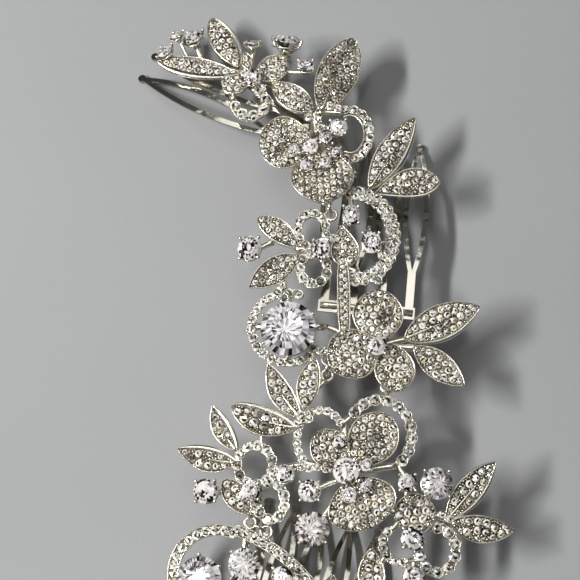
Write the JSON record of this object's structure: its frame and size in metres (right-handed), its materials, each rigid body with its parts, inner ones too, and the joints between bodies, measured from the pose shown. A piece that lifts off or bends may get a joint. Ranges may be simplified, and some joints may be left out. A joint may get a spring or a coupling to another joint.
{
  "type": "bridal hair comb",
  "caption": "Long bridal hair comb: a silver-plated vine of pave-set flowers, leaves and scrolls with clear cut stones, in four linked sprays on three flat metal combs.",
  "frame": {"origin": "on the surface that the comb tine tips stand on, under the middle of the whole piece", "axes": "+Y along the vine from its pointed lower end to its upper end, +X to the right of the vine as worn in the picture, +Z away from the head"},
  "size_m": [0.0932, 0.1833, 0.023],
  "materials": {
    "plated_casting": "polished",
    "plated_petal": "polished",
    "comb_metal": "polished",
    "link_wire": "polished",
    "crystal": "polished"
  },
  "bodies": {
    "root": {"spray_top": "plated_casting", "spray_middle": "plated_casting", "spray_lower": "plated_casting", "spray_end": "plated_casting", "flower_top": "plated_petal", "flower_middle": "plated_petal", "flower_lower": "plated_petal", "comb_top": "comb_metal", "comb_middle": "comb_metal", "comb_end": "comb_metal", "binding_top": "link_wire", "binding_middle": "link_wire", "binding_end": "link_wire", "jump_ring_top": "link_wire", "jump_ring_inner": "link_wire", "jump_ring_outer": "link_wire", "jump_ring_lower": "link_wire", "stone_01": "crystal", "stone_02": "crystal", "stone_03": "crystal", "stone_04": "crystal", "stone_05": "crystal", "stone_06": "crystal", "stone_07": "crystal", "stone_08": "crystal", "stone_09": "crystal", "stone_10": "crystal", "stone_11": "crystal", "stone_12": "crystal", "stone_13": "crystal", "stone_14": "crystal", "stone_15": "crystal", "stone_16": "crystal", "stone_17": "crystal", "stone_centre": "crystal", "stone_19": "crystal", "stone_20": "crystal", "stone_21": "crystal", "stone_22": "crystal", "stone_23": "crystal", "stone_24": "crystal", "stone_25": "crystal", "stone_26": "crystal", "stone_27": "crystal", "stone_28": "crystal", "stone_29": "crystal", "stone_30": "crystal", "stone_31": "crystal", "stone_32": "crystal", "stone_33": "crystal", "stone_34": "crystal", "stone_35": "crystal", "stone_36": "crystal", "stone_37": "crystal", "stone_38": "crystal"}
  },
  "joints": []
}
